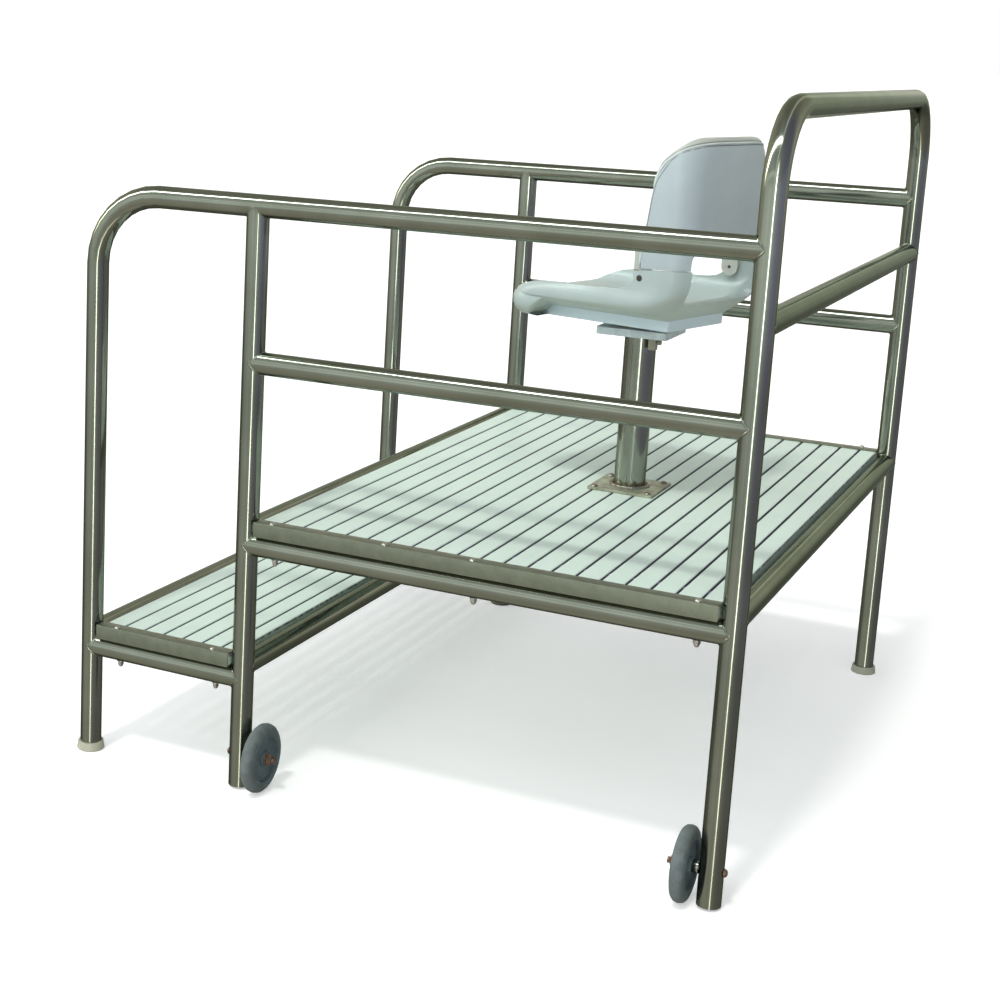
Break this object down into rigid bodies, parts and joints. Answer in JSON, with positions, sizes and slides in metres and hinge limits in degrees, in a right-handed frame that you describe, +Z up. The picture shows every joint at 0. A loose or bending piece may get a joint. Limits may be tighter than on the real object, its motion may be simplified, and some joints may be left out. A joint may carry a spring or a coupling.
{
  "type": "lifeguard chair",
  "caption": "Movable poolside lifeguard chair: tube frame with step and slatted deck, two wheels, and a swivelling seat with a folding back.",
  "frame": {"origin": "middle of the footprint, on the floor", "axes": "+X from the step to the back hoop, +Y from the wheel side to the far side, +Z up"},
  "size_m": [1.499, 1.6748, 1.5471],
  "materials": {
    "tube_steel": "satin stainless",
    "channel_steel": "mill, dull",
    "slat_plastic": "pale moulded, fine grain",
    "cap_plastic": "cream moulded",
    "tyre_rubber": "grey, smooth",
    "hub_plastic": "blue-grey moulded",
    "bolt_steel": "weathered",
    "cast_alloy": "as cast",
    "seat_plastic": "light grey moulded, semi-gloss",
    "lock_plastic": "beige moulded"
  },
  "bodies": {
    "frame": {"near_side_rail": "tube_steel", "far_side_rail": "tube_steel", "near_main_post": "tube_steel", "far_main_post": "tube_steel", "back_hoop": "tube_steel", "near_mid_rail": "tube_steel", "far_mid_rail": "tube_steel", "hoop_cross_rail": "tube_steel", "near_deck_rail": "tube_steel", "far_deck_rail": "tube_steel", "deck_front_tube": "tube_steel", "deck_back_tube": "tube_steel", "near_step_rail": "tube_steel", "far_step_rail": "tube_steel", "step_front_tube": "tube_steel", "step_rear_tube": "tube_steel", "near_front_foot_cap": "cap_plastic", "far_front_foot_cap": "cap_plastic", "far_main_foot_cap": "cap_plastic", "far_back_foot_cap": "cap_plastic", "near_deck_channel": "channel_steel", "far_deck_channel": "channel_steel", "near_step_channel": "channel_steel", "far_step_channel": "channel_steel", "near_deck_support": "channel_steel", "far_deck_support": "channel_steel", "deck_slat_panel_1": "slat_plastic", "deck_slat_panel_2": "slat_plastic", "deck_slat_panel_3": "slat_plastic", "deck_slat_panel_4": "slat_plastic", "step_slat_panel": "slat_plastic", "pedestal_pole": "tube_steel", "pedestal_base_plate": "tube_steel", "pedestal_bolt_front_near": "bolt_steel", "pedestal_bolt_front_far": "bolt_steel", "pedestal_bolt_rear_near": "bolt_steel", "pedestal_bolt_rear_far": "bolt_steel", "swivel_tray": "cast_alloy", "swivel_bearing_ring": "lock_plastic", "swivel_lock_housing": "lock_plastic", "front_axle_bolt": "bolt_steel", "front_axle_spacer": "tube_steel", "front_axle_washer": "bolt_steel", "front_axle_nut": "bolt_steel", "rear_axle_bolt": "bolt_steel", "rear_axle_spacer": "tube_steel", "rear_axle_washer": "bolt_steel", "rear_axle_nut": "bolt_steel"},
    "swivelling_seat": {"swivel_turn_plate": "cast_alloy", "seat_pan": "seat_plastic", "near_hinge_screw": "bolt_steel", "far_hinge_screw": "bolt_steel"},
    "folding_back": {"seat_back": "seat_plastic"},
    "front_wheel": {"front_wheel_tyre": "tyre_rubber", "front_wheel_hub": "hub_plastic"},
    "rear_wheel": {"rear_wheel_tyre": "tyre_rubber", "rear_wheel_hub": "hub_plastic"},
    "lock_screw": {"swivel_lock_knob": "bolt_steel"}
  },
  "joints": [
    {"name": "seat_swivel", "type": "hinge", "parent": "frame", "child": "swivelling_seat", "pos_m": [0.266, 0.02235, 0.99], "axis": [0, 0, 1], "continuous": true},
    {"name": "seat_back_fold", "type": "hinge", "parent": "swivelling_seat", "child": "folding_back", "pos_m": [0.37032, -0.0056, 1.1279], "axis": [-0.2588, -0.9659, 0], "range_deg": [0, 92]},
    {"name": "front_wheel_spin", "type": "hinge", "parent": "frame", "child": "front_wheel", "pos_m": [-0.26887, -0.76115, 0.0762], "axis": [1, 0, 0], "continuous": true},
    {"name": "rear_wheel_spin", "type": "hinge", "parent": "frame", "child": "rear_wheel", "pos_m": [0.66187, -0.76115, 0.0762], "axis": [1, 0, 0], "continuous": true},
    {"name": "lock_screw_turn", "type": "hinge", "parent": "frame", "child": "lock_screw", "pos_m": [0.306, -0.01365, 0.962], "axis": [1, 0, 0], "continuous": true}
  ]
}
